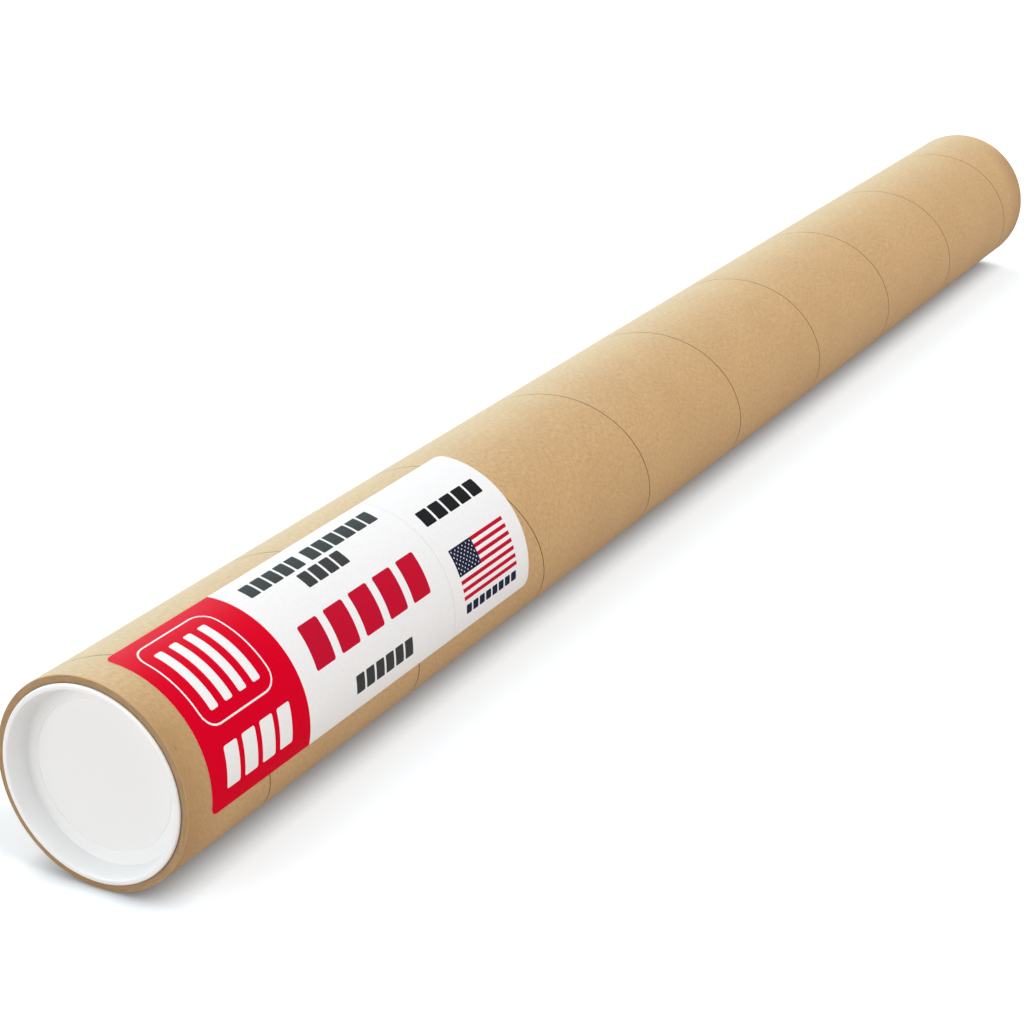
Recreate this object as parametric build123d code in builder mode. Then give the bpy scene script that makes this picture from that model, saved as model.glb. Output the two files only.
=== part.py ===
"""Long spiral-wound paperboard mailing tube, lying on its side, with a push-in plastic plug in each
end and one paper label wrapped part of the way round it.

Frame: +Z up, the floor at z = 0, the tube along Y with the labelled end at -Y, and the origin under
the middle of the tube. Sizes are in millimetres and degrees.
"""
import os
from math import cos, degrees, radians, sin, tan

from build123d import *

# Tube: bore, wall and cut length
BORE_DIAMETER = 101.6
TUBE_WALL = 4.572
TUBE_LENGTH = 1219.2
CUT_EDGE_BEVEL = 0.4

# End plug: a thin cup with a bevelled lip, pushed in until the lip meets the cut end of the tube
LIP_OVERLAP = 0.4
LIP_PROUD = 1.8
LIP_WIDTH = 2.9
LIP_BEVEL = 0.6
RECESS_DEPTH = 9.8
RECESS_DRAFT = 15.0
FLOOR_DISC_DIAMETER = 78.0
FLOOR_RIM_RISE = 1.0
PLUG_WALL = 1.4

# Grip rings round the plug's skirt: square towards the lip, sloped behind to slip in, thin at the bore
GRIP_RING_COUNT = 2
FIRST_RING_DEPTH = 2.4
GRIP_RING_PITCH = 3.6
GRIP_RING_SLOPE = 2.0
GRIP_CLEARANCE = 0.05

# Label: one sheet, round corners, its width measured round the tube
LABEL_LENGTH = 304.8
LABEL_WIDTH = 101.6
LABEL_THICKNESS = 0.15
GLUE_THICKNESS = 0.05
LABEL_END_MARGIN = 18.3
LABEL_START_ANGLE = -2.8
LABEL_CORNER_RADIUS = 5.0

# Sizes that follow from the ones above
BORE_RADIUS = BORE_DIAMETER / 2
TUBE_RADIUS = BORE_RADIUS + TUBE_WALL
AXIS_HEIGHT = TUBE_RADIUS
END_Y = TUBE_LENGTH / 2
TUBE_AXIS = Axis((0, 0, AXIS_HEIGHT), (0, 1, 0))

# A corner's cutter stands this far past the sheet, and lies on one side of its own centre
CUT_SPARE = 1.0
FROM_CENTRE = {1: Align.MIN, -1: Align.MAX}


def end_plane(side):
    """Half-section plane of one end: local x runs out from the axis, local y into the tube."""
    return Plane(origin=(0, side * END_Y, AXIS_HEIGHT), x_dir=(1, 0, 0), z_dir=(0, 0, -side))


def build_tube():
    """The wound board as one plain pipe, its outer edges burnished down where it was cut."""
    with BuildPart() as tube:
        with BuildSketch(end_plane(-1)):
            with Locations((BORE_RADIUS, 0)):
                Rectangle(TUBE_WALL, TUBE_LENGTH, align=(Align.MIN, Align.MIN))
        revolve(axis=TUBE_AXIS)
        outer_rims = tube.edges().filter_by(GeomType.CIRCLE).group_by(lambda edge: edge.radius)[-1]
        chamfer(outer_rims, CUT_EDGE_BEVEL)
    tube.part.label = "tube"
    return tube


def skirt_radius(depth, offset=0):
    """Radius of the drafted recess wall at a depth, moved outwards along its normal by offset."""
    lip_inner_radius = BORE_RADIUS + LIP_OVERLAP - LIP_WIDTH
    draft = radians(RECESS_DRAFT)
    return lip_inner_radius - (depth + LIP_PROUD) * tan(draft) + offset / cos(draft)


def build_end_cap(side, name):
    """One plug: bevelled lip, drafted cup, dished floor round a flat disc, and rings that grip."""
    lip_radius = BORE_RADIUS + LIP_OVERLAP
    disc_radius = FLOOR_DISC_DIAMETER / 2
    crease_depth = RECESS_DEPTH - FLOOR_RIM_RISE
    with BuildPart() as cap:
        with BuildSketch(end_plane(side)) as cup_section:
            with BuildLine():
                Polyline(
                    (0, RECESS_DEPTH),
                    (disc_radius, RECESS_DEPTH),
                    (skirt_radius(crease_depth), crease_depth),
                    (skirt_radius(-LIP_PROUD), -LIP_PROUD),
                    (lip_radius, -LIP_PROUD),
                    (lip_radius, 0),
                    (skirt_radius(0, PLUG_WALL), 0),
                    (skirt_radius(crease_depth + PLUG_WALL, PLUG_WALL), crease_depth + PLUG_WALL),
                    (disc_radius, RECESS_DEPTH + PLUG_WALL),
                    (0, RECESS_DEPTH + PLUG_WALL),
                    close=True,
                )
            make_face()
            lip_top_corners = cup_section.vertices().group_by(Axis.Y)[0]
            chamfer(lip_top_corners, LIP_BEVEL)
        revolve(axis=TUBE_AXIS)
        for ring in range(GRIP_RING_COUNT):
            ring_depth = FIRST_RING_DEPTH + ring * GRIP_RING_PITCH
            slope_end = ring_depth + GRIP_RING_SLOPE
            with BuildSketch(end_plane(side)):
                with BuildLine():
                    Polyline(
                        (skirt_radius(ring_depth, PLUG_WALL / 2), ring_depth),
                        (BORE_RADIUS - GRIP_CLEARANCE, ring_depth),
                        (skirt_radius(slope_end, PLUG_WALL / 2), slope_end),
                        close=True,
                    )
                make_face()
            revolve(axis=TUBE_AXIS)
    cap.part.label = name
    return cap


def outward_plane(y, angle):
    """Plane on the tube's axis at y: z out of the tube at the angle, x along it, y back round it."""
    turn = radians(angle)
    return Plane(origin=(0, y, AXIS_HEIGHT), x_dir=(0, 1, 0), z_dir=(sin(turn), 0, cos(turn)))


def build_label():
    """One sheet of paper bent part of the way round the tube, with its four corners rounded."""
    inner_radius = TUBE_RADIUS + GLUE_THICKNESS
    outer_radius = inner_radius + LABEL_THICKNESS
    end_angle = LABEL_START_ANGLE + degrees(LABEL_WIDTH / outer_radius)
    near_y = -END_Y + LABEL_END_MARGIN
    corner_turn = LABEL_CORNER_RADIUS / outer_radius
    corner_height = outer_radius * sin(corner_turn)
    start = radians(LABEL_START_ANGLE)
    start_plane = Plane(
        origin=(0, near_y, AXIS_HEIGHT),
        x_dir=(sin(start), 0, cos(start)),
        z_dir=(-cos(start), 0, sin(start)),
    )
    with BuildPart() as label:
        with BuildSketch(start_plane):
            with Locations((inner_radius, 0)):
                Rectangle(LABEL_THICKNESS, LABEL_LENGTH, align=(Align.MIN, Align.MIN))
        revolve(axis=TUBE_AXIS, revolution_arc=end_angle - LABEL_START_ANGLE)
        for end_y, outward in ((near_y, -1), (near_y + LABEL_LENGTH, 1)):
            for edge_angle, round_the_tube in ((LABEL_START_ANGLE, -1), (end_angle, 1)):
                corner_angle = edge_angle - round_the_tube * degrees(corner_turn)
                corner = outward_plane(end_y - outward * LABEL_CORNER_RADIUS, corner_angle)
                with BuildSketch(corner.offset(inner_radius / 2)):
                    Rectangle(
                        LABEL_CORNER_RADIUS + CUT_SPARE,
                        corner_height + CUT_SPARE,
                        align=(FROM_CENTRE[outward], FROM_CENTRE[-round_the_tube]),
                    )
                    Ellipse(LABEL_CORNER_RADIUS, corner_height, mode=Mode.SUBTRACT)
                extrude(amount=inner_radius, mode=Mode.SUBTRACT)
    label.part.label = "label"
    return label


os.makedirs("parts", exist_ok=True)
pieces = [
    build_tube(),
    build_end_cap(-1, "near_end_cap"),
    build_end_cap(1, "far_end_cap"),
    build_label(),
]
for piece in pieces:
    export_step(piece.part, f"parts/{piece.part.label}.step")
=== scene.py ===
"""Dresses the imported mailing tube: wound board, end plugs, printed label and a plain studio.

Lengths are metres in the part's own frame: +Z up, the floor at z = 0, the tube along Y with its
labelled end at -Y and its axis above the origin. Angles round the tube are measured from its top
towards +X. MM turns the sizes below, which are written in millimetres, into metres.
"""
import logging
from dataclasses import dataclass, field
from enum import Enum
from functools import cached_property
from math import atan2, cos, pi, radians, sin, tan
from typing import Sequence

import bpy
import numpy as np
from mathutils import Matrix, Vector
from mathutils.geometry import delaunay_2d_cdt


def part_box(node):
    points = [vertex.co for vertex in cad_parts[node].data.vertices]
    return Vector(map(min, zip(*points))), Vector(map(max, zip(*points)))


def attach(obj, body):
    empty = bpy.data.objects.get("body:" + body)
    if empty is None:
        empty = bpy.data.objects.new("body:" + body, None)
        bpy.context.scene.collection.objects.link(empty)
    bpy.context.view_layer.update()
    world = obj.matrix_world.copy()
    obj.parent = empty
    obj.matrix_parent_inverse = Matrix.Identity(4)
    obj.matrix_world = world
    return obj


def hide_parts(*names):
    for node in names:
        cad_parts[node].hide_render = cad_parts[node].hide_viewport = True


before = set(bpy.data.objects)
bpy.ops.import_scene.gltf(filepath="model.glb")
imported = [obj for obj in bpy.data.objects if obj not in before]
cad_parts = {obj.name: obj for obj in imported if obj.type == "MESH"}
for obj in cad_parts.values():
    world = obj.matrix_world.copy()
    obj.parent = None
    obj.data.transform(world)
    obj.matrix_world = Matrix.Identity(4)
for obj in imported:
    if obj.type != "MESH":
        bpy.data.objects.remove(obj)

logging.basicConfig(level=logging.INFO, format="%(name)s: %(message)s")
LOG = logging.getLogger("mailing_tube")

MM = 0.001
IMAGE_PIXELS = 1024

# Colour: linear red, green and blue. Grain, of a noise: its lumps to the metre, how many finer
# layers it has and how strong those are. Ramp: from where to where a value runs, and from what to
# what that takes it, held beyond both. Span: a start and an end.
Colour = tuple[float, float, float]
Grain = tuple[float, float, float]
Ramp = tuple[float, float, float, float]
Span = tuple[float, float]
Material = bpy.types.Material
Socket = bpy.types.NodeSocket


class Ink(Enum):
    """What a patch of the label shows: its own bare paper, or one of the printed colours.

    Each value is the colour's linear red, green and blue.
    """

    PAPER = (0.845, 0.845, 0.85)
    RED = (0.67, 0.0, 0.018)
    DEEP_RED = (0.52, 0.006, 0.03)
    CHARCOAL = (0.047, 0.047, 0.048)
    BLACK = (0.012, 0.012, 0.013)
    NAVY = (0.014, 0.016, 0.045)
    PALE_GREY = (0.70, 0.70, 0.70)


class End(Enum):
    """Which end of the tube a plug closes. The value is the way out along Y."""

    NEAR = -1
    FAR = 1


def add_object(name: str, data: bpy.types.ID) -> bpy.types.Object:
    """Puts a mesh, lamp or camera into the scene.

    Args:
        name: The object's name.
        data: What it shows.

    Returns:
        The object, at the origin.
    """
    added = bpy.data.objects.new(name, data)
    bpy.context.scene.collection.objects.link(added)
    return added


@dataclass
class Surface:
    """A bare mesh in the making.

    Attributes:
        points: Corner positions in metres, one row each.
        faces: Corner numbers of each face, counter-clockwise seen from outside.
        values: Named per-corner numbers that the materials read.
    """

    points: np.ndarray
    faces: np.ndarray
    values: dict[str, np.ndarray] = field(default_factory=dict)


def grid_faces(rows: int, columns: int) -> np.ndarray:
    """Numbers the quads of a grid whose points are stored row by row.

    Args:
        rows: Rows of points.
        columns: Points in each row.

    Returns:
        One row of four corner numbers for each quad, turning from the row's way to the column's.
    """
    first = (np.arange(rows - 1)[:, None] * columns + np.arange(columns - 1)).ravel()
    return np.stack([first, first + 1, first + columns + 1, first + columns], axis=1)


def join_surfaces(surfaces: Sequence[Surface]) -> Surface:
    """Puts several surfaces into one.

    Args:
        surfaces: The surfaces, all of quads.

    Returns:
        The one surface. A named value is 0 on each part that lacks it.
    """
    names = sorted({name for surface in surfaces for name in surface.values})
    starts = np.cumsum([0] + [len(surface.points) for surface in surfaces[:-1]])
    return Surface(
        points=np.concatenate([surface.points for surface in surfaces]),
        faces=np.concatenate([surface.faces + start for surface, start in zip(surfaces, starts)]),
        values={
            name: np.concatenate([s.values.get(name, np.zeros(len(s.points))) for s in surfaces])
            for name in names
        },
    )


def weld(surface: Surface, grain: float = 1e-7) -> tuple[Surface, list[list[int]]]:
    """Merges points that coincide and drops the faces that this leaves with no area.

    Args:
        surface: The mesh to clean, all quads or all triangles.
        grain: Positions that round to the same multiple of this length are one point.

    Returns:
        The mesh with its merged points, and its faces as lists with no corner twice.
    """
    keys = np.round(surface.points / grain).astype(np.int64)
    _, kept, renumbered = np.unique(keys, axis=0, return_index=True, return_inverse=True)
    faces = renumbered.reshape(-1)[surface.faces]
    repeats = faces == np.roll(faces, 1, axis=1)
    corners = faces.shape[1] - repeats.sum(axis=1)
    polygons = [list(dict.fromkeys(face)) for face in faces[corners >= 3].tolist()]
    polygons = [polygon for polygon in polygons if len(polygon) >= 3]
    values = {name: value[kept] for name, value in surface.values.items()}
    return Surface(surface.points[kept], faces, values), polygons


def make_object(name: str, surface: Surface, smooth_angle: float = 35.0) -> bpy.types.Object:
    """Makes a Blender object of a surface, welded, smooth but for its sharp edges.

    Args:
        name: The piece's name.
        surface: The surface.
        smooth_angle: Edges that turn by more degrees than this stay sharp.

    Returns:
        The object, at the origin.
    """
    welded, polygons = weld(surface)
    mesh = bpy.data.meshes.new(name)
    mesh.from_pydata(welded.points.tolist(), [], polygons)
    for value_name, numbers in welded.values.items():
        attribute = mesh.attributes.new(value_name, "FLOAT", "POINT")
        attribute.data.foreach_set("value", numbers.astype(np.float32))
    mesh.shade_smooth()
    mesh.set_sharp_from_angle(angle=radians(smooth_angle))
    mesh.validate()
    return add_object(name, mesh)


def rounded_profile(corners: Sequence[tuple[float, float, float]], steps: int = 8) -> np.ndarray:
    """Rounds the corners of an open outline with tangent arcs.

    At a corner whose two runs turn by the angle t, an arc of radius r touches each run r tan(t/2)
    from the corner. Its points are the arc centre plus the radius, turned evenly from one touching
    point to the other.

    Args:
        corners: Each corner's two coordinates and its rounding radius, 0 for a sharp one.
        steps: Stretches in each arc.

    Returns:
        The rounded outline's points, one row each.
    """
    places = np.array(corners)[:, :2]
    outline = [places[0]]
    for before, (x, y, radius), after in zip(places[:-2], corners[1:-1], places[2:]):
        corner = np.array([x, y])
        if radius == 0:
            outline.append(corner)
            continue
        way_in = (corner - before) / np.linalg.norm(corner - before)
        way_out = (after - corner) / np.linalg.norm(after - corner)
        turn = atan2(way_in[0] * way_out[1] - way_in[1] * way_out[0], float(way_in @ way_out))
        side = np.sign(turn) * np.array([-way_in[1], way_in[0]])
        start = corner - way_in * radius * tan(abs(turn) / 2)
        centre = start + side * radius
        angles = np.linspace(0, turn, steps + 1)
        spoke = start - centre
        outline.extend(
            centre + np.array([c * spoke[0] - s * spoke[1], s * spoke[0] + c * spoke[1]])
            for c, s in zip(np.cos(angles), np.sin(angles))
        )
    outline.append(places[-1])
    return np.array(outline)


def split_long_runs(outline: np.ndarray, longest: float) -> np.ndarray:
    """Adds evenly spaced points to the long runs of an outline.

    Args:
        outline: The outline's points, one row each.
        longest: Longest run that stays whole.

    Returns:
        The points with the new ones between them.
    """
    runs = np.linalg.norm(np.diff(outline, axis=0), axis=1)
    parts = np.maximum(1, np.ceil(runs / longest)).astype(int)
    pieces = [
        start + (end - start) * np.arange(count)[:, None] / count
        for start, end, count in zip(outline[:-1], outline[1:], parts)
    ]
    return np.concatenate(pieces + [outline[-1:]])


@dataclass(frozen=True)
class Axis:
    """The line that the tube and its plugs are round.

    Attributes:
        height: The axis above the floor, in metres.
        segments: Stretches in one turn of everything round the axis.
    """

    height: float
    segments: int = 240

    def around(self, radius: np.ndarray, along: np.ndarray, angle: np.ndarray) -> np.ndarray:
        """Places points round the axis: x = r sin a, y as given, z = axis height + r cos a.

        Args:
            radius: Distances from the axis.
            along: Places along Y.
            angle: Angles in radians from the top towards +X.

        Returns:
            One row for each point, in the order of the flattened arrays.
        """
        radius, along, angle = np.broadcast_arrays(radius, along, angle)
        across = radius * np.sin(angle)
        up = self.height + radius * np.cos(angle)
        return np.stack([across.ravel(), along.ravel(), up.ravel()], axis=1)

    def revolve(self, profile: np.ndarray, values: dict[str, np.ndarray] | None = None) -> Surface:
        """Turns a profile of (radius, y) points once round the axis.

        Args:
            profile: The profile. Walked along it, the outside of the shape is on its left with
                the radius drawn to the right and y upwards.
            values: Named numbers for the profile's points, carried round with them.

        Returns:
            The surface, a grid of the profile's points by the angle.
        """
        angles = np.linspace(0, 2 * pi, self.segments + 1)
        points = self.around(profile[:, :1], profile[:, 1:], angles)
        faces = grid_faces(len(profile), len(angles))
        carried = {name: np.repeat(value, len(angles)) for name, value in (values or {}).items()}
        return Surface(points, faces, carried)


class Shader:
    """Wires the nodes of one material, or of the world."""

    def __init__(self, owner: Material | bpy.types.World) -> None:
        """Empties the nodes of a material or the world.

        Args:
            owner: The material or world.
        """
        self.owner = owner
        owner.use_nodes = True
        self.nodes = owner.node_tree.nodes
        self.links = owner.node_tree.links
        self.nodes.clear()

    @classmethod
    def material(cls, name: str) -> "Shader":
        """Starts a material of that name."""
        return cls(bpy.data.materials.new(name))

    def add(self, kind: str, inputs: dict | None = None, **settings: object) -> bpy.types.Node:
        """Adds a node.

        Args:
            kind: The node's type, without its leading ShaderNode.
            inputs: For each input socket's name or number, a value or a socket to link from.
            settings: The node's own properties.

        Returns:
            The node.
        """
        node = self.nodes.new("ShaderNode" + kind)
        for name, value in settings.items():
            setattr(node, name, value)
        for key, value in (inputs or {}).items():
            if isinstance(value, Socket):
                self.links.new(value, node.inputs[key])
            else:
                node.inputs[key].default_value = value
        return node

    @cached_property
    def place(self) -> Socket:
        """The Object coordinates."""
        return self.add("TexCoord").outputs["Object"]

    def noise(self, vector: Socket, grain: Grain) -> Socket:
        """Gives cloudy noise around 0.5, of that grain over the vector."""
        inputs = {"Vector": vector, **dict(zip(("Scale", "Detail", "Roughness"), grain))}
        return self.add("TexNoise", inputs, noise_dimensions="3D").outputs["Fac"]

    def spread(self, value: Socket, ramp: Ramp) -> Socket:
        """Takes a value over a ramp."""
        inputs = {0: value, **dict(enumerate(ramp, start=1))}
        return self.add("MapRange", inputs, clamp=True).outputs[0]

    def math(self, operation: str, first: object, second: object) -> Socket:
        """Gives one sum, product or other operation of two values or sockets."""
        return self.add("Math", {0: first, 1: second}, operation=operation).outputs[0]

    def mix(self, factor: object, first: object, second: object, blend: str = "MIX") -> Socket:
        """Mixes two colours.

        Args:
            factor: How much of the second shows, a number or a socket.
            first: A colour or a socket.
            second: The same.
            blend: How the second is laid over the first.

        Returns:
            The mixed colour.
        """
        colours = [
            value if isinstance(value, Socket) else (*value, 1.0)
            for value in (first, second)
        ]
        inputs = {0: factor, 6: colours[0], 7: colours[1]}
        return self.add("Mix", inputs, data_type="RGBA", blend_type=blend).outputs[2]

    def attribute(self, name: str) -> Socket:
        """Gives a named per-corner number of the mesh."""
        return self.add("Attribute", attribute_name=name).outputs["Fac"]

    def bump(self, height: Socket, distance: float) -> Socket:
        """Gives the normal of a relief whose height of 1 stands that far out, in metres."""
        return self.add("Bump", {"Height": height, "Distance": distance}).outputs["Normal"]

    def seen(self) -> Socket:
        """Tells light that shows a background from light that lights things.

        Returns:
            1 where the background is looked at, mirrored or seen through, and else 0.
        """
        path = self.add("LightPath").outputs
        looked_at = self.math("MAXIMUM", path["Is Camera Ray"], path["Is Glossy Ray"])
        return self.math("MAXIMUM", looked_at, path["Is Transmission Ray"])

    def finish(self, inputs: dict) -> Material:
        """Ends the material in a Principled BSDF.

        Args:
            inputs: A value or a socket for each of its inputs that is set.

        Returns:
            The material.
        """
        surface = self.add("BsdfPrincipled", inputs)
        self.add("OutputMaterial", {"Surface": surface.outputs["BSDF"]})
        return self.owner


@dataclass(frozen=True)
class BoardFinish:
    """Brown unbleached paper: fibres that lie along each turn, dark seams and a raw cut edge, with
    painted shade and a painted rim highlight.

    Attributes:
        paper: The sheet's middle colour.
        pale: Its lighter fibres.
        dark: Its darker fibres, also the colour of the painted shade beside the cut ends.
        raw: The board where it is cut across.
        seam: The line between two turns of the outer ply, also the colour of the specks and of the
            painted shade towards the hollow.
        flecks: The sheet's small flecks.
        fibres: Its streaks, counted across them.
        fibre_stretch: How many times as long as wide the streaks are.
        grain_swing: How flecks and streaks go from dark to pale.
        grain_share: How far each of the two takes the colour from its middle.
        clouds: Large faint clouds.
        cloud_shade: How much darker they are.
        roughness: From the dark flecks to the pale ones.
        mirror_level: How strongly the sheet mirrors, where 0.5 is glass.
        relief: Height of the flecks and streaks.
        painted_shade_along: How much painted shade darkens the sheet along the tube towards a cut
            end.
        painted_shade_below: How much of that painted shade there is, from the top of the tube
            downwards.
        speck_cells: Cells to the metre, some of which hold a speck.
        speck_rarity: The share of cells that don't.
        speck_fade: How dark a speck is from its middle outwards.
        ply_thickness: Thickness of each ply that the cut edge shows.
        glue_line: How dark the glue between two plies is, over the sine that has its crests there.
        torn: The cut edge's torn fibres, counted across them.
        torn_stretch: How many times as long as wide they are.
        torn_pale: How pale they are.
        hollow_shade: How much darker the cut edge is painted towards the hollow, as shade beside
            the plug's lip.
        painted_rim_highlight: How pale the outer rim is painted as a highlight, from there inwards.
    """

    paper: Colour = (0.575, 0.365, 0.172)
    pale: Colour = (0.74, 0.50, 0.26)
    dark: Colour = (0.36, 0.205, 0.085)
    raw: Colour = (0.29, 0.185, 0.10)
    seam: Colour = (0.075, 0.036, 0.016)
    flecks: Grain = (400, 6, 0.75)
    fibres: Grain = (1200, 5, 0.66)
    fibre_stretch: float = 4.0
    grain_swing: Ramp = (0.34, 0.66, 0, 1)
    grain_share: float = 0.38
    clouds: Grain = (28, 2, 0.5)
    cloud_shade: Ramp = (0.35, 0.65, 0, 0.10)
    roughness: Ramp = (0.3, 0.7, 0.68, 0.78)
    mirror_level: float = 0.25
    relief: float = 0.05 * MM
    painted_shade_along: Ramp = (578 * MM, 606 * MM, 0, 0.62)
    painted_shade_below: Ramp = (108 * MM, 92 * MM, 0, 1)
    speck_cells: float = 190.0
    speck_rarity: float = 0.86
    speck_fade: Ramp = (0.05, 0.11, 0.5, 0)
    ply_thickness: float = 0.762 * MM
    glue_line: Ramp = (0.3, 1, 0, 0.3)
    torn: Grain = (1500, 5, 0.65)
    torn_stretch: float = 8.0
    torn_pale: Ramp = (0.3, 0.7, 0, 0.35)
    hollow_shade: Ramp = (3.2 * MM, 4.3 * MM, 0, 0.65)
    painted_rim_highlight: Ramp = (0.25 * MM, 0.6 * MM, 0.5, 0)

    def build(self) -> Material:
        """Builds the material: the sheet with its grain and marks, the cut edge and the seam.

        Returns:
            The material.
        """
        shader = Shader.material("brown_paperboard")
        along = shader.math("DIVIDE", shader.attribute("ply_along"), self.fibre_stretch)
        sheet = shader.add("CombineXYZ", {0: along, 1: shader.attribute("ply_across")}).outputs[0]
        flecks = shader.noise(shader.place, self.flecks)
        fibres = shader.noise(sheet, self.fibres)
        tone = self.paper
        for grain in (flecks, fibres):
            swing = shader.mix(shader.spread(grain, self.grain_swing), self.dark, self.pale)
            tone = shader.mix(self.grain_share, tone, swing)
        clouds = shader.spread(shader.noise(shader.place, self.clouds), self.cloud_shade)
        tone = shader.mix(clouds, tone, self.dark)
        # Painted shade: the sheet is darkened beside both cut ends, below the top of the tube.
        tone = shader.mix(self.painted_shade_share(shader), tone, self.dark)
        tone = shader.mix(self.speck_share(shader), tone, self.seam)
        tone = shader.mix(shader.attribute("cut"), tone, self.cut_tone(shader))
        tone = shader.mix(shader.attribute("seam"), tone, self.seam)
        return shader.finish({
            "Base Color": tone,
            "Roughness": shader.spread(flecks, self.roughness),
            "Specular IOR Level": self.mirror_level,
            "Normal": shader.bump(shader.math("ADD", flecks, fibres), self.relief),
        })

    def painted_shade_share(self, shader: Shader) -> Socket:
        """Paints shade on the sheet beside its cut ends, but not on top.

        Args:
            shader: The material in the making.

        Returns:
            How much darker the painted shade makes the sheet there.
        """
        flat = shader.add("SeparateXYZ", {0: shader.place}).outputs
        beside = shader.spread(shader.math("ABSOLUTE", flat["Y"], 0), self.painted_shade_along)
        low = shader.spread(flat["Z"], self.painted_shade_below)
        return shader.math("MULTIPLY", beside, low)

    def speck_share(self, shader: Shader) -> Socket:
        """Scatters a few specks, each in the middle of a rare cell.

        Args:
            shader: The material in the making.

        Returns:
            How dark the speck is.
        """
        cells = shader.add("TexVoronoi", {"Vector": shader.place, "Scale": self.speck_cells})
        parts = shader.add("SeparateColor", {"Color": cells.outputs["Color"]})
        rare = shader.math("GREATER_THAN", parts.outputs[0], self.speck_rarity)
        spot = shader.spread(cells.outputs["Distance"], self.speck_fade)
        return shader.math("MULTIPLY", rare, spot)

    def cut_tone(self, shader: Shader) -> Socket:
        """Gives the cut edge's colour: fibres torn along the plies, glue between two plies, painted
        shade towards the hollow and a painted highlight on the outer rim.

        The torn fibres are noise that runs faster into the board than round it. The glue is dark
        at the crests of a sine of the depth, one to a ply.

        Args:
            shader: The material in the making.

        Returns:
            The colour.
        """
        depth = shader.attribute("depth")
        flat = shader.add("SeparateXYZ", {0: shader.place}).outputs
        x, z = [shader.math("DIVIDE", flat[axis], self.torn_stretch) for axis in ("X", "Z")]
        streaks = shader.add("CombineXYZ", {0: x, 1: depth, 2: z}).outputs[0]
        torn = shader.spread(shader.noise(streaks, self.torn), self.torn_pale)
        turns = shader.math("DIVIDE", depth, self.ply_thickness / (2 * pi))
        glue = shader.spread(shader.math("SINE", turns, 0), self.glue_line)
        tone = shader.mix(glue, shader.mix(torn, self.raw, self.pale), self.dark)
        # Painted shade: the cut edge darkens towards the hollow, beside the plug's lip.
        tone = shader.mix(shader.spread(depth, self.hollow_shade), tone, self.seam)
        # Painted highlight: the outer rim of the cut edge is made paler.
        return shader.mix(shader.spread(depth, self.painted_rim_highlight), tone, self.pale)


@dataclass(frozen=True)
class PlasticFinish:
    """White moulded polyethylene with a satin skin.

    Attributes:
        colour: Its colour.
        skin: Faint patches in its skin.
        roughness: From one patch to the next.
        mirror_level: How strongly it mirrors, where 0.5 is glass.
    """

    colour: Colour = (0.845, 0.86, 0.868)
    skin: Grain = (60, 2, 0.5)
    roughness: Ramp = (0, 1, 0.33, 0.39)
    mirror_level: float = 0.5

    def build(self) -> Material:
        """Builds the material.

        Returns:
            The material.
        """
        shader = Shader.material("white_polyethylene")
        return shader.finish({
            "Base Color": (*self.colour, 1.0),
            "Roughness": shader.spread(shader.noise(shader.place, self.skin), self.roughness),
            "Specular IOR Level": self.mirror_level,
        })


@dataclass(frozen=True)
class LabelFinish:
    """Label paper in one ink.

    Attributes:
        ink: The colour printed, or bare paper.
        grain: The paper's fine grain.
        wear: How the colour wears from the hollows of the grain to its heights.
        worn_share: How much of the colour is left where it is worn.
        roughness: From the hollows to the heights.
        mirror_level: How strongly it mirrors, where 0.5 is glass.
        relief: Height of the grain.
    """

    ink: Ink
    grain: Grain = (700, 3, 0.5)
    wear: Ramp = (0.35, 0.65, 0, 1)
    worn_share: float = 0.96
    roughness: Ramp = (0.3, 0.7, 0.54, 0.62)
    mirror_level: float = 0.02
    relief: float = 0.012 * MM

    def build(self) -> Material:
        """Builds the material.

        Returns:
            The material.
        """
        shader = Shader.material("label_" + self.ink.name.lower())
        grain = shader.noise(shader.place, self.grain)
        worn = tuple(self.worn_share * channel for channel in self.ink.value)
        return shader.finish({
            "Base Color": shader.mix(shader.spread(grain, self.wear), self.ink.value, worn),
            "Roughness": shader.spread(grain, self.roughness),
            "Specular IOR Level": self.mirror_level,
            "Normal": shader.bump(grain, self.relief),
        })


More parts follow.
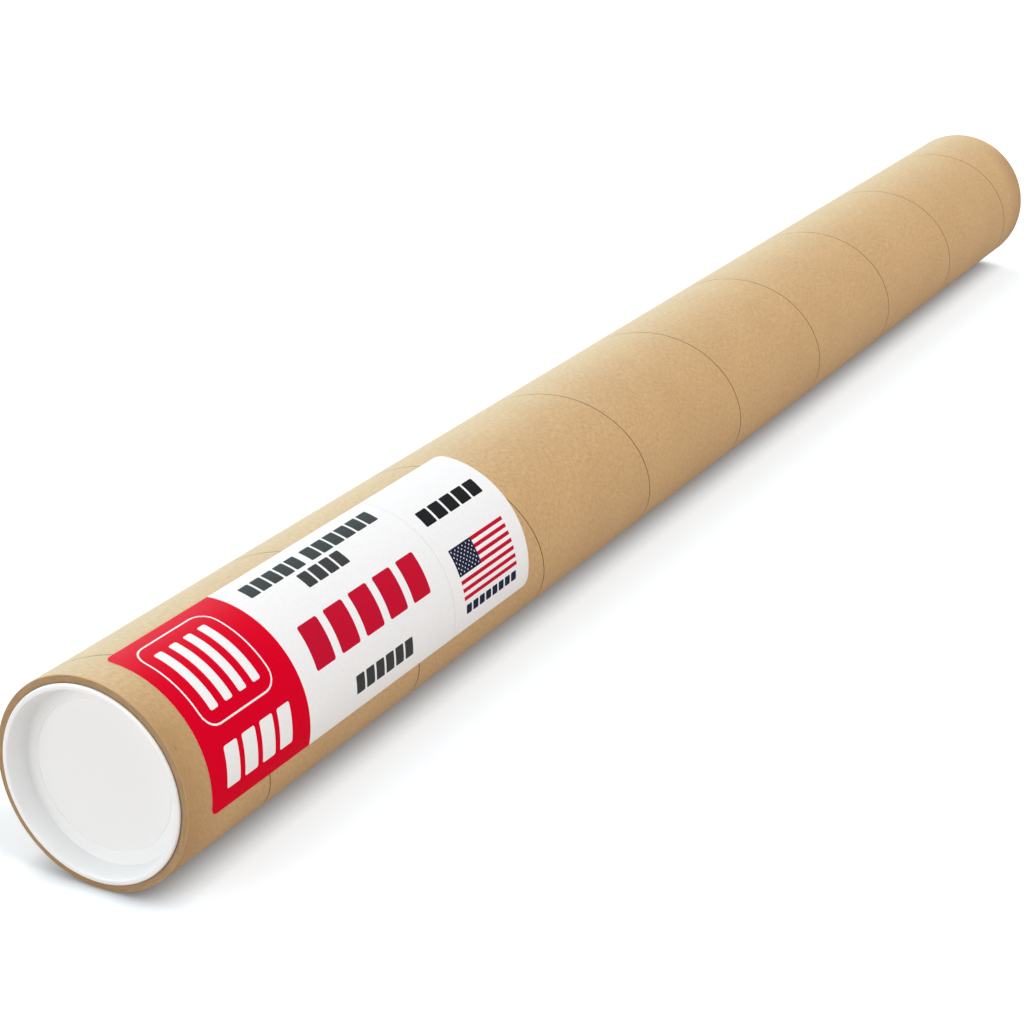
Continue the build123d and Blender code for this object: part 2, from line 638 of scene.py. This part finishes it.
@dataclass
class WoundTube:
    """The tube of spirally wound board.

    Attributes:
        axis: The line that it is round.
        bore_radius: Radius of its hollow.
        wall: Thickness of the board.
        length: From cut end to cut end.
        outer_rounding: Rounding of the outer rim, where the cut edge's highlight is painted.
        inner_rounding: Rounding of the rim round the hollow.
        seam_pitch: How far along the tube the seam goes in one turn.
        seam_start: Where the seam first crosses the top, from the near cut end.
        bore_seam_start: The same for the seam of the innermost ply.
        seam_width: Width of the groove between two turns.
        seam_depth: Depth of that groove.
        seam_lift: How far the ply's edges stand up beside the groove.
        seam_shade: How dark the seam is at its middle, and how much less one width away.
        end_fade: How far from a cut ring the groove starts to fade out.
        ring_stretches: Stretches of the mesh across the cut board.
        outer_rows: Where the outer face has rows of points beside a seam, in widths of the groove.
        bore_rows: The same for the face in the bore.
        plain_rows: Rows between the last ones beside two seams.
    """

    axis: Axis
    bore_radius: float = 50.8 * MM
    wall: float = 4.572 * MM
    length: float = 1219.2 * MM
    outer_rounding: float = 0.5 * MM
    inner_rounding: float = 0.2 * MM
    seam_pitch: float = 138.9 * MM
    seam_start: float = 27.1 * MM
    bore_seam_start: float = 96.0 * MM
    seam_width: float = 0.8 * MM
    seam_depth: float = 0.22 * MM
    seam_lift: float = 0.03 * MM
    seam_shade: tuple[float, float] = (1.35, 2.2)
    end_fade: float = 2.0 * MM
    ring_stretches: int = 8
    outer_rows: tuple[float, ...] = (0, 0.25, 0.5, 0.75, 1.1, 1.6, 2.4, 4, 8)
    bore_rows: tuple[float, ...] = (0, 0.5, 0.75, 1.6, 8)
    plain_rows: int = 4

    @property
    def radius(self) -> float:
        """Outer radius of the board."""
        return self.bore_radius + self.wall

    @property
    def ring_reach(self) -> float:
        """How far the surface of a cut ring runs along the tube, past its roundings."""
        return 2 * self.outer_rounding

    def wound_face(self, radius: float, outward: int, seam_start: float,
                   rows: tuple[float, ...]) -> Surface:
        """Winds one ply's face as a strip that runs from seam to seam.

        At the angle a the seam lies at y = start + pitch a / 2 pi, and the strip goes on from there
        by one pitch. Across it, at the distance d from the nearer seam, the face sinks by
        lift (1 - e^-(d / width - 1)^2), so that it stands highest beside the groove, and inside
        the groove by depth (1 - d / half width) more. Both fade out before a cut ring, where the
        strip is held back to the ring's edge.

        Args:
            radius: Radius of the face.
            outward: 1 for the outer face, -1 for the one in the bore.
            seam_start: Where the seam crosses the top, from the near cut end.
            rows: Where its rows of points lie beside a seam, in widths of the groove.

        Returns:
            The face, with how dark the seam is as its value "seam", and the place on the strip as
            "ply_along" and "ply_across".
        """
        end = self.length / 2 - self.ring_reach
        step = 2 * pi / self.axis.segments
        first = np.floor(-2 * pi * (1 + seam_start / self.seam_pitch) / step)
        last = np.ceil(2 * pi * (self.length - seam_start) / self.seam_pitch / step)
        angles = np.arange(first, last + 1) * step
        beside = self.seam_width * np.array(rows)
        far_side = self.seam_pitch - beside[::-1]
        plain = np.linspace(beside[-1], far_side[0], self.plain_rows + 2)[1:-1]
        across = np.concatenate([beside, plain, far_side])
        seam_y = seam_start - self.length / 2 + self.seam_pitch * angles / (2 * pi)
        free_y = seam_y[None, :] + across[:, None]
        along = np.clip(free_y, -end, end)
        slope = atan2(self.seam_pitch, 2 * pi * radius)
        beyond = (along - seam_y[None, :]) % self.seam_pitch
        distance = np.minimum(beyond, self.seam_pitch - beyond) * cos(slope)
        groove = self.seam_depth * np.clip(1 - 2 * distance / self.seam_width, 0, 1)
        swell = self.seam_lift * np.exp(-((distance / self.seam_width - 1) ** 2))
        fade = np.clip((end - np.abs(along)) / self.end_fade, 0, 1)
        height = (swell - self.seam_lift - groove) * fade
        darkest, falling = self.seam_shade
        dark = np.clip(darkest - falling * distance / self.seam_width, 0, 1)
        points = self.axis.around(radius + outward * height, along, angles[None, :])
        faces = grid_faces(len(across), len(angles))[:, ::outward]
        strip_place = np.broadcast_to(angles * radius / cos(slope), along.shape)
        values = {"seam": dark, "ply_along": strip_place, "ply_across": beyond * cos(slope)}
        return Surface(points, faces, {name: value.ravel() for name, value in values.items()})

    def end_ring(self, end: End) -> Surface:
        """Turns the ring of cut board round the axis.

        Args:
            end: The end that it is at.

        Returns:
            The ring from the outer face round to the bore, with how much of it is cut board as its
            value "cut", and how far into the board it lies as "depth".
        """
        edge = self.length / 2
        inner_edge = edge - self.ring_reach
        corners = [
            (self.radius, inner_edge, 0),
            (self.radius, edge, self.outer_rounding),
            (self.bore_radius, edge, self.inner_rounding),
            (self.bore_radius, inner_edge, 0),
        ]
        profile = split_long_runs(rounded_profile(corners), self.wall / self.ring_stretches)
        inside = np.clip((self.radius - profile[:, 0]) / self.outer_rounding, 0, 1)
        inside[-1] = 0
        profile[:, 1] *= end.value
        if end is End.NEAR:
            profile, inside = profile[::-1], inside[::-1]
        return self.axis.revolve(profile, {"cut": inside, "depth": self.radius - profile[:, 0]})

    def build(self, finish: Material) -> bpy.types.Object:
        """Makes the dressed tube.

        Args:
            finish: The board's material.

        Returns:
            The piece, one closed shell.
        """
        shell = join_surfaces([
            self.wound_face(self.radius, 1, self.seam_start, self.outer_rows),
            self.wound_face(self.bore_radius, -1, self.bore_seam_start, self.bore_rows),
            self.end_ring(End.NEAR),
            self.end_ring(End.FAR),
        ])
        piece = make_object("wound_tube", shell)
        piece.data.materials.append(finish)
        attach(piece, "tube_body")
        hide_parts("tube")
        return piece


@dataclass(frozen=True)
class PlugRoundings:
    """How each corner of a plug's section is rounded.

    They run from the disc's edge out to the lip, back along the skirt with its rings, and round to
    the back of the floor.
    """

    groove_edge: float = 0.2 * MM
    groove_floor: float = 0.1 * MM
    groove_bank: float = 0.4 * MM
    crease: float = 0.6 * MM
    lip_inside: float = 0.9 * MM
    lip_outside: float = 1.1 * MM
    lip_underside: float = 0.2 * MM
    skirt_root: float = 0.3 * MM
    ring_root: float = 0.2 * MM
    ring_tip: float = 0.06 * MM
    ring_end: float = 0.5 * MM
    back: float = 0.8 * MM
    back_disc: float = 6.0 * MM


@dataclass
class EndPlug:
    """A push-in plastic plug: a shallow drafted cup with a lip outside and grip rings round it.

    Depths run from the tube's cut end inwards, so the lip's are negative.

    Attributes:
        axis: The line that it is round.
        end: Which end of the tube it closes.
        cut_end: The tube's cut end along Y, from the middle of the tube.
        bore_radius: Radius of the hollow that it fills.
        lip_overlap: How far the lip reaches over the board.
        lip_proud: How far it stands out of the tube.
        lip_width: Its width from inside to outside.
        recess_depth: Depth of the flat floor.
        floor_rim_rise: How far the floor's rim stands above its flat disc.
        disc_radius: Radius of that disc.
        groove: Depth of the fine groove round it, and half its width.
        draft: Slope of the recess wall, in degrees.
        plastic: Thickness of the plastic.
        ring_depths: Where each grip ring starts.
        ring_slope: Length of the slope behind a ring.
        ring_clearance: Gap between a ring's edge and the bore.
        roundings: How its corners are rounded.
        longest_run: Longest stretch of its section between two points.
    """

    axis: Axis
    end: End
    cut_end: float
    bore_radius: float
    lip_overlap: float = 0.4 * MM
    lip_proud: float = 1.8 * MM
    lip_width: float = 2.9 * MM
    recess_depth: float = 9.8 * MM
    floor_rim_rise: float = 1.0 * MM
    disc_radius: float = 39.0 * MM
    groove: float = 0.25 * MM
    draft: float = 15.0
    plastic: float = 1.4 * MM
    ring_depths: tuple[float, ...] = (2.4 * MM, 6.0 * MM)
    ring_slope: float = 2.0 * MM
    ring_clearance: float = 0.05 * MM
    roundings: PlugRoundings = PlugRoundings()
    longest_run: float = 5.0 * MM

    def wall_radius(self, depth: float, offset: float = 0.0) -> float:
        """Works out the recess wall: its radius shrinks from the lip by depth times tan(draft).

        Args:
            depth: How deep.
            offset: How far the wall is moved out along its own normal.

        Returns:
            Its radius there.
        """
        top = self.bore_radius + self.lip_overlap - self.lip_width
        draft = radians(self.draft)
        return top - (depth + self.lip_proud) * tan(draft) + offset / cos(draft)

    def section(self) -> np.ndarray:
        """Draws the half section.

        Returns:
            Its (radius, depth) points, from the floor's centre round the lip to the back.
        """
        crease = self.recess_depth - self.floor_rim_rise
        back = crease + self.plastic
        back_floor = self.recess_depth + self.plastic
        lip_radius = self.bore_radius + self.lip_overlap
        tip = self.bore_radius - self.ring_clearance
        groove_floor = self.recess_depth + self.groove
        groove_bank = self.recess_depth - self.groove / 4
        rounded = self.roundings
        corners = [
            (0, self.recess_depth, 0),
            (self.disc_radius - self.groove, self.recess_depth, rounded.groove_edge),
            (self.disc_radius, groove_floor, rounded.groove_floor),
            (self.disc_radius + self.groove, groove_bank, rounded.groove_bank),
            (self.wall_radius(crease), crease, rounded.crease),
            (self.wall_radius(-self.lip_proud), -self.lip_proud, rounded.lip_inside),
            (lip_radius, -self.lip_proud, rounded.lip_outside),
            (lip_radius, 0, rounded.lip_underside),
            (self.wall_radius(0, self.plastic), 0, rounded.skirt_root),
        ]
        for depth in self.ring_depths:
            slope_end = depth + self.ring_slope
            corners += [
                (self.wall_radius(depth, self.plastic), depth, rounded.ring_root),
                (tip, depth, rounded.ring_tip),
                (self.wall_radius(slope_end, self.plastic), slope_end, rounded.ring_end),
            ]
        corners += [
            (self.wall_radius(back, self.plastic), back, rounded.back),
            (self.disc_radius, back_floor, rounded.back_disc),
            (0, back_floor, 0),
        ]
        return split_long_runs(rounded_profile(corners, steps=6), self.longest_run)

    def build(self, finish: Material) -> bpy.types.Object:
        """Makes the dressed plug.

        Args:
            finish: The plastic's material.

        Returns:
            The piece, one closed shell.
        """
        radius, depth = self.section().T
        profile = np.stack([radius, self.end.value * (self.cut_end - depth)], axis=1)
        if self.end is End.FAR:
            profile = profile[::-1]
        side = self.end.name.lower()
        piece = make_object(f"{side}_plug", self.axis.revolve(profile))
        piece.data.materials.append(finish)
        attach(piece, f"{side}_cap_body")
        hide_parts(f"{side}_end_cap")
        return piece


@dataclass(frozen=True)
class Patch:
    """A closed outline on the flat label, and the ink inside it.

    Attributes:
        outline: Points (u, v) in millimetres: u along the tube from the label's near edge, v round
            the tube from its upper edge.
        ink: What shows there, over any earlier patch.
    """

    outline: np.ndarray
    ink: Ink


def rounded_block(u: Span, v: Span, radius: float,
                  slant: float = 0.0, steps: int = 5) -> np.ndarray:
    """Draws a rectangle with round corners, pushed over by a slant.

    Each quarter arc is a corner's centre plus radius (cos a, sin a), and every point then moves
    along u by slant times its distance above the lower side.

    Args:
        u: Where it starts and ends along the tube.
        v: Its upper and lower sides.
        radius: Rounding of its corners.
        slant: Shift along u for each millimetre up.
        steps: Stretches in each corner.

    Returns:
        The outline's points, one row each.
    """
    quarters = np.radians([[0], [90], [180], [270]])
    turns = quarters + np.radians(np.linspace(0, 90, steps + 1))
    centre_u = np.array([u[1] - radius, u[0] + radius, u[0] + radius, u[1] - radius])[:, None]
    centre_v = np.array([v[1] - radius, v[1] - radius, v[0] + radius, v[0] + radius])[:, None]
    points_v = centre_v + radius * np.sin(turns)
    points_u = centre_u + radius * np.cos(turns) + slant * (v[1] - points_v)
    return np.stack([points_u.ravel(), points_v.ravel()], axis=1)


def star(u: float, v: float, radius: float) -> np.ndarray:
    """Draws a five-pointed star, whose corners lie by turns at its radius and at its waist.

    Args:
        u: Its middle along the tube.
        v: Its middle round the tube.
        radius: From its middle to a tip.

    Returns:
        The outline's points, one row each.
    """
    tips, waist = 5, 0.4 * radius
    corners = np.arange(2 * tips)
    turns = pi * corners / tips
    reach = np.where(corners % 2 == 0, radius, waist)
    return np.stack([u + reach * np.sin(turns), v - reach * np.cos(turns)], axis=1)


@dataclass(frozen=True)
class PrintRow:
    """A row of like blocks of print, in millimetres on the flat label.

    Attributes:
        u: Where the row starts and ends.
        v: Its upper and lower sides.
        blocks: How many blocks share it.
        gap: The space between two.
        ink: Their colour.
        radius: Rounding of the corners.
        slant: Shift along u for each millimetre up.
    """

    u: Span
    v: Span
    blocks: int
    gap: float
    ink: Ink
    radius: float = 0.8
    slant: float = 0.12

    def patches(self) -> list[Patch]:
        """Draws the row.

        Returns:
            Its blocks, from one end to the other.
        """
        width = (self.u[1] - self.u[0] - self.gap * (self.blocks - 1)) / self.blocks
        starts = self.u[0] + np.arange(self.blocks) * (width + self.gap)
        return [
            Patch(rounded_block((start, start + width), self.v, self.radius, self.slant), self.ink)
            for start in starts.tolist()
        ]


@dataclass(frozen=True)
class StripedFlag:
    """A flag of stripes with a starred canton, in millimetres on the flat label.

    Attributes:
        u: Where it starts and ends along the tube.
        v: Its upper and lower sides.
        stripes: Stripes and the spaces between them.
        canton_stripes: How many of those the canton covers.
        canton_share: Its share of the flag's length.
        star_columns: Columns of stars, every other one of them in each row.
        star_rows: Rows of stars.
        star_size: A star's radius, for each step from one column of stars to the next.
        corner: Rounding of the corners.
    """

    u: Span
    v: Span
    stripes: int = 13
    canton_stripes: int = 7
    canton_share: float = 0.4
    star_columns: int = 11
    star_rows: int = 9
    star_size: float = 0.36
    corner: float = 0.05

    def patches(self) -> list[Patch]:
        """Draws the flag.

        Returns:
            Every other stripe, the canton over the first ones, and the staggered rows of stars.
        """
        (start, end), (top, bottom) = self.u, self.v
        stripe = (bottom - top) / self.stripes
        canton_end = start + self.canton_share * (end - start)
        canton_v = (top, top + self.canton_stripes * stripe)
        blocks = [
            Patch(rounded_block(self.u, (edge, edge + stripe), self.corner, steps=1), Ink.DEEP_RED)
            for edge in (top + np.arange(0, self.stripes, 2) * stripe).tolist()
        ]
        canton = rounded_block((start, canton_end), canton_v, self.corner, steps=1)
        blocks.append(Patch(canton, Ink.NAVY))
        step_u = (canton_end - start) / (self.star_columns + 1)
        step_v = (canton_v[1] - top) / (self.star_rows + 1)
        radius = self.star_size * step_u
        return blocks + [
            Patch(star(start + column * step_u, top + row * step_v, radius), Ink.PAPER)
            for row in range(1, self.star_rows + 1)
            for column in range(2 - row % 2, self.star_columns + 1, 2)
        ]


@dataclass
class WrappedLabel:
    """The printed paper label, one sheet bent round the tube.

    Attributes:
        axis: The line that it is round.
        tube_radius: Outer radius of the board below it.
        near_cut_end: The tube's near cut end along Y.
        length: Along the tube, in millimetres.
        width: Round the tube, in millimetres.
        margin: From the cut end to its near edge, in millimetres.
        start_angle: Of its upper edge, in degrees from the top towards +X.
        corner: Rounding of its corners, in millimetres.
        glue: Gap between board and paper.
        paper: Thickness of the sheet.
        cell: Longest stretches of the mesh along and round the tube, in millimetres.
    """

    axis: Axis
    tube_radius: float
    near_cut_end: float
    length: float = 304.8
    width: float = 101.6
    margin: float = 18.3
    start_angle: float = -2.8
    corner: float = 5.0
    glue: float = 0.04 * MM
    paper: float = 0.12 * MM
    cell: tuple[float, float] = (8.0, 1.6)

    def print_layout(self) -> list[Patch]:
        """Lays out the print. The red field runs past the sheet's sides, and ends where they do.

        Returns:
            The patches from the sheet up: colour fields, a thin frame, then the rows and the flag.
        """
        outline = rounded_block((0, self.length), (0, self.width), self.corner, steps=8)
        field_end, past, field_corner = 82.0, 9.0, 1.0
        red_field = rounded_block((-past, field_end), (-past, self.width + past), field_corner)
        line_u, line_margin, line_corner = (222.4, 222.9), 2.0, 0.2
        divider = rounded_block(line_u, (line_margin, self.width - line_margin), line_corner)
        frame_u, frame_v, frame_corner, frame_width = (9.3, 66.0), (7.2, 62.0), 9.8, 1.0
        inner_u = (frame_u[0] + frame_width, frame_u[1] - frame_width)
        inner_v = (frame_v[0] + frame_width, frame_v[1] - frame_width)
        patches = [
            Patch(outline, Ink.PAPER),
            Patch(red_field, Ink.RED),
            Patch(divider, Ink.PALE_GREY),
            Patch(rounded_block(frame_u, frame_v, frame_corner), Ink.PAPER),
            Patch(rounded_block(inner_u, inner_v, frame_corner - frame_width), Ink.RED),
        ]
        rows = [
            PrintRow((17.5, 57.5), (15.5, 54.3), 4, 5.3, Ink.PAPER, radius=1.2, slant=0),
            PrintRow((12.0, 66.0), (71.5, 92.0), 4, 4.0, Ink.PAPER, radius=1.2),
            PrintRow((94.5, 143.0), (8.0, 18.0), 5, 1.7, Ink.CHARCOAL),
            PrintRow((148.5, 212.0), (8.0, 18.0), 6, 1.7, Ink.CHARCOAL),
            PrintRow((128.0, 166.0), (20.6, 30.6), 4, 1.7, Ink.CHARCOAL),
            PrintRow((96.0, 205.0), (44.0, 68.0), 5, 6.0, Ink.DEEP_RED, radius=1.5),
            PrintRow((124.5, 179.0), (82.5, 92.6), 6, 1.7, Ink.CHARCOAL, slant=0),
            PrintRow((232.5, 293.0), (27.6, 38.0), 5, 1.9, Ink.BLACK),
            PrintRow((235.0, 290.0), (87.2, 92.6), 8, 1.4, Ink.NAVY, slant=0),
        ]
        for row in rows:
            patches += row.patches()
        return patches + StripedFlag((233.6, 291.4), (55.0, 84.3)).patches()

    def divide(self, patches: list[Patch]) -> tuple[np.ndarray, np.ndarray, np.ndarray]:
        """Divides the flat sheet into triangles that no patch's outline crosses.

        The outlines and a net of guide lines go into one constrained triangulation. A triangle
        shows the ink of the last patch that it lies in, and is dropped off the sheet.

        Args:
            patches: The patches from the sheet up, the sheet first.

        Returns:
            The flat points, the triangles' corner numbers, and each one's patch number.
        """
        outlines = [patch.outline for patch in patches]
        starts = np.cumsum([0] + [len(outline) for outline in outlines])
        loops = [list(range(start, end)) for start, end in zip(starts[:-1], starts[1:])]
        across, around = [
            np.linspace(0, size, int(np.ceil(size / cell)) + 1)[1:-1]
            for size, cell in zip((self.length, self.width), self.cell)
        ]
        past = 1.0
        far_u, far_v = self.length + past, self.width + past
        ends = np.concatenate([
            np.stack([np.repeat(across, 2), np.tile([-past, far_v], len(across))], axis=1),
            np.stack([np.tile([-past, far_u], len(around)), np.repeat(around, 2)], axis=1),
        ])
        guides = starts[-1] + np.arange(len(ends)).reshape(-1, 2)
        flat = np.concatenate(outlines + [ends])
        vectors = [Vector(point) for point in flat.tolist()]
        every_triangle, merge_reach = 0, 1e-5
        result = delaunay_2d_cdt(vectors, guides.tolist(), loops, every_triangle, merge_reach)
        corners, faces, face_patches = result[0], result[2], result[5]
        points = np.array([tuple(point) for point in corners])
        on_sheet = [number for number, patch in enumerate(face_patches) if 0 in patch]
        triangles = np.array([faces[number] for number in on_sheet])
        top_patch = np.array([max(face_patches[number]) for number in on_sheet])
        used, renumbered = np.unique(triangles, return_inverse=True)
        return points[used], renumbered.reshape(-1, 3), top_patch

    def build(self, finishes: dict[Ink, Material]) -> bpy.types.Object:
        """Makes the dressed label.

        A flat point (u, v) goes to the angle start + v / r and the place margin + u. The sheet's
        edge is a ring of quads between its printed and its glued face.

        Args:
            finishes: The material of each ink.

        Returns:
            The piece, one closed shell with a material for each ink.
        """
        patches = self.print_layout()
        flat, triangles, patch_numbers = self.divide(patches)
        inner = self.tube_radius + self.glue
        outer = inner + self.paper
        angles = radians(self.start_angle) + flat[:, 1] * MM / outer
        along = self.near_cut_end + (self.margin + flat[:, 0]) * MM
        points = np.concatenate([self.axis.around(r, along, angles) for r in (outer, inner)])
        count = len(flat)
        turned = self.axis.around(np.array(1.0), np.array(0.0), angles) - (0, 0, self.axis.height)
        edges = np.concatenate([triangles[:, [0, 1]], triangles[:, [1, 2]], triangles[:, [2, 0]]])
        either_way = np.sort(edges, axis=1)
        _, where, uses = np.unique(either_way, axis=0, return_index=True, return_counts=True)
        rim = edges[where[uses == 1]]
        upside = self.facing_out(points, triangles, turned)
        top = triangles if upside else triangles[:, ::-1]
        rim = rim if upside else rim[:, ::-1]
        sides = np.stack([rim[:, 1], rim[:, 0], rim[:, 0] + count, rim[:, 1] + count], axis=1)
        glued = top[:, ::-1] + count
        mesh = bpy.data.meshes.new("wrapped_label")
        mesh.from_pydata(points.tolist(), [], top.tolist() + glued.tolist() + sides.tolist())
        inks = list(finishes)
        shown = np.array([inks.index(patches[number].ink) for number in patch_numbers])
        plain = np.full(len(top) + len(sides), inks.index(Ink.PAPER))
        for ink in inks:
            mesh.materials.append(finishes[ink])
        mesh.polygons.foreach_set("material_index", np.concatenate([shown, plain]).astype(np.int32))
        mesh.shade_smooth()
        side_normals = np.repeat(self.side_normals(points, sides), 4, axis=0)
        normals = np.concatenate([turned[top.ravel()], -turned[top[:, ::-1].ravel()], side_normals])
        mesh.normals_split_custom_set(normals.tolist())
        piece = add_object("wrapped_label", mesh)
        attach(piece, "tube_body")
        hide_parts("label")
        return piece

    @staticmethod
    def facing_out(points: np.ndarray, triangles: np.ndarray, outward: np.ndarray) -> bool:
        """Tells whether the first triangle's corners turn counter-clockwise seen from outside."""
        a, b, c = points[triangles[0]]
        return bool(np.cross(b - a, c - a) @ outward[triangles[0, 0]] > 0)

    @staticmethod
    def side_normals(points: np.ndarray, sides: np.ndarray) -> np.ndarray:
        """Works out flat normals: the cross product of a quad's two diagonals, made one long.

        Args:
            points: The label's points.
            sides: Corner numbers of each quad along its edge.

        Returns:
            One row for each quad.
        """
        corners = points[sides]
        normals = np.cross(corners[:, 2] - corners[:, 0], corners[:, 3] - corners[:, 1])
        return normals / np.linalg.norm(normals, axis=1, keepdims=True)


@dataclass(frozen=True)
class SoftLamp:
    """A wide lamp far away.

    Attributes:
        way: The way to it.
        strength: Its strength.
        spread: Its width in degrees.
        tint: Its colour.
        only_gloss: Whether matt surfaces leave it out.
    """

    way: tuple[float, float, float]
    strength: float
    spread: float
    tint: Colour = (1.0, 1.0, 1.0)
    only_gloss: bool = False

    def build(self, name: str) -> None:
        """Makes the lamp.

        Args:
            name: Its name.
        """
        data = bpy.data.lights.new(name, "SUN")
        data.energy = self.strength
        data.angle = radians(self.spread)
        data.color = self.tint
        lamp = add_object(name, data)
        lamp.visible_diffuse = not self.only_gloss
        lamp.rotation_euler = Vector(self.way).to_track_quat("Z", "Y").to_euler()


@dataclass(frozen=True)
class Studio:
    """A plain white floor with a painted contact shadow, and soft light from both sides.

    Attributes:
        floor_size: Side of the floor, in metres.
        seen_tone: Its colour where it is seen or mirrored.
        diffuse_tone: Its colour for the light that it throws back on matt surfaces.
        floor_glow: Plain white added to the seen floor, so that shadows stay pale.
        painted_shadow_reach: How close an object darkens the floor beside it with painted contact
            shadow, in metres.
        painted_shadow_tone: How much of the floor's colour the painted contact shadow leaves, from
            wholly covered to open.
        ambient: Strength of the light from all round, from where it lights to where it is seen.
        lamps: The soft lamps by name.
    """

    floor_size: float = 24.0
    seen_tone: Colour = (0.87, 0.94, 1.0)
    diffuse_tone: Colour = (0.655, 0.60, 0.55)
    floor_glow: float = 0.22
    painted_shadow_reach: float = 0.017
    painted_shadow_tone: Ramp = (0, 1, 0.50, 1)
    ambient: Ramp = (0, 1, 0.52, 1)
    lamps: tuple[tuple[str, SoftLamp], ...] = (
        ("soft_lamp_1", SoftLamp((0.60, 0.00, 0.80), 1.46, 34.0)),
        ("soft_lamp_2", SoftLamp((-0.50, 0.15, 0.85), 0.74, 50.0)),
        ("soft_lamp_3", SoftLamp((-0.50, -0.85, 0.18), 1.28, 35.0)),
        ("sheen_lamp", SoftLamp((-0.73, 0.30, 0.62), 10.0, 70.0, (0.45, 0.93, 1.0), True)),
    )

    def build_floor(self) -> None:
        """Makes the floor, which isn't part of the object."""
        half = self.floor_size / 2
        corners = [(-half, -half, 0), (half, -half, 0), (half, half, 0), (-half, half, 0)]
        mesh = bpy.data.meshes.new("studio_floor")
        mesh.from_pydata(corners, [], [(0, 1, 2, 3)])
        floor = add_object("studio_floor", mesh)
        shader = Shader.material("studio_floor")
        seen = shader.seen()
        # Painted contact shadow: ambient occlusion darkens the floor's colour and glow beside the
        # object.
        beside = shader.add("AmbientOcclusion", {"Distance": self.painted_shadow_reach}, samples=4)
        clear = shader.spread(beside.outputs["AO"], self.painted_shadow_tone)
        tone = shader.mix(seen, self.diffuse_tone, self.seen_tone)
        tone = shader.mix(1, tone, clear, "MULTIPLY")
        matte = shader.add("BsdfDiffuse", {"Color": tone}).outputs[0]
        glow = shader.math("MULTIPLY", shader.math("MULTIPLY", seen, clear), self.floor_glow)
        white = shader.add("Emission", {"Strength": glow}).outputs[0]
        mixed = shader.add("AddShader", {0: matte, 1: white}).outputs[0]
        shader.add("OutputMaterial", {"Surface": mixed})
        mesh.materials.append(shader.owner)

    def build_lights(self) -> None:
        """Sets the world's light, white where it is seen or mirrored, and the soft lamps."""
        shader = Shader(bpy.data.worlds.new("studio_world"))
        strength = shader.spread(shader.seen(), self.ambient)
        sky = shader.add("Background", {"Color": (1, 1, 1, 1), "Strength": strength})
        shader.add("OutputWorld", {"Surface": sky.outputs[0]})
        bpy.context.scene.world = shader.owner
        for name, lamp in self.lamps:
            lamp.build(name)


@dataclass(frozen=True)
class PhotoCamera:
    """The photograph's own view.

    Attributes:
        place: Where it stands, in metres.
        turn: How far it looks left of +Y, in degrees.
        dip: How far it looks down, in degrees.
        focal_pixels: Its focal length in pixels of the square image.
    """

    place: tuple[float, float, float] = (0.6420, -1.3700, 0.5896)
    turn: float = 28.86
    dip: float = 22.17
    focal_pixels: float = 2384.0

    def build(self) -> None:
        """Makes the camera and hands it to the scene."""
        turn, dip = radians(self.turn), radians(self.dip)
        ahead = Vector((-sin(turn) * cos(dip), cos(turn) * cos(dip), -sin(dip)))
        right = Vector((cos(turn), sin(turn), 0))
        data = bpy.data.cameras.new("photo_camera")
        data.sensor_fit = "HORIZONTAL"
        data.lens = self.focal_pixels / IMAGE_PIXELS * data.sensor_width
        camera = add_object("photo_camera", data)
        basis = Matrix([right, right.cross(ahead), -ahead]).transposed()
        camera.matrix_world = Matrix.Translation(self.place) @ basis.to_4x4()
        bpy.context.scene.camera = camera


def main() -> None:
    """Builds the camera, the studio and the dressed pieces."""
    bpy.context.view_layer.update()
    bpy.context.scene.view_settings.view_transform = "Standard"
    PhotoCamera().build()
    studio = Studio()
    studio.build_floor()
    studio.build_lights()
    low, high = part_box("tube")
    axis = Axis(height=(low[2] + high[2]) / 2)
    tube = WoundTube(axis)
    plastic = PlasticFinish().build()
    pieces = [tube.build(BoardFinish().build())]
    pieces += [
        EndPlug(axis, end, tube.length / 2, tube.bore_radius).build(plastic) for end in End
    ]
    inks = {ink: LabelFinish(ink).build() for ink in Ink}
    pieces.append(WrappedLabel(axis, tube.radius, -tube.length / 2).build(inks))
    for piece in pieces:
        LOG.info("%s: %d faces", piece.name, len(piece.data.polygons))


if __name__ == "__main__":
    main()
